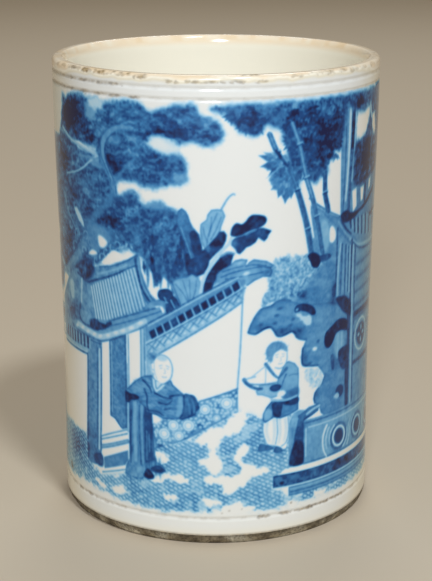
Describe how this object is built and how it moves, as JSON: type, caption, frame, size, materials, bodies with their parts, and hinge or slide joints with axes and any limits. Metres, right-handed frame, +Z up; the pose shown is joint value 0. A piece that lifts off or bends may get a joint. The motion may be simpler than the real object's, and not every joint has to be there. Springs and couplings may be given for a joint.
{
  "type": "brush pot",
  "caption": "Cylindrical glazed porcelain brush pot with a gently waisted wall, flat lip, turned lines and a bare clay foot ring.",
  "frame": {"origin": "centre of the foot, on the surface that the pot stands on", "axes": "+Z up along the pot's axis; -Y is the painted side that the picture shows"},
  "size_m": [0.11, 0.11, 0.155],
  "materials": {
    "bare_foot": "unglazed fired clay, stained brown",
    "white_glaze": "glossy clear glaze over white porcelain",
    "painted_glaze": "glossy clear glaze over cobalt blue painting on white porcelain",
    "worn_rim_glaze": "glossy glaze with a worn brown dressed lip"
  },
  "bodies": {
    "root": {"foot_ring": "bare_foot", "base_disc": "white_glaze", "body_wall": "painted_glaze", "mouth_rim": "worn_rim_glaze"}
  },
  "joints": []
}
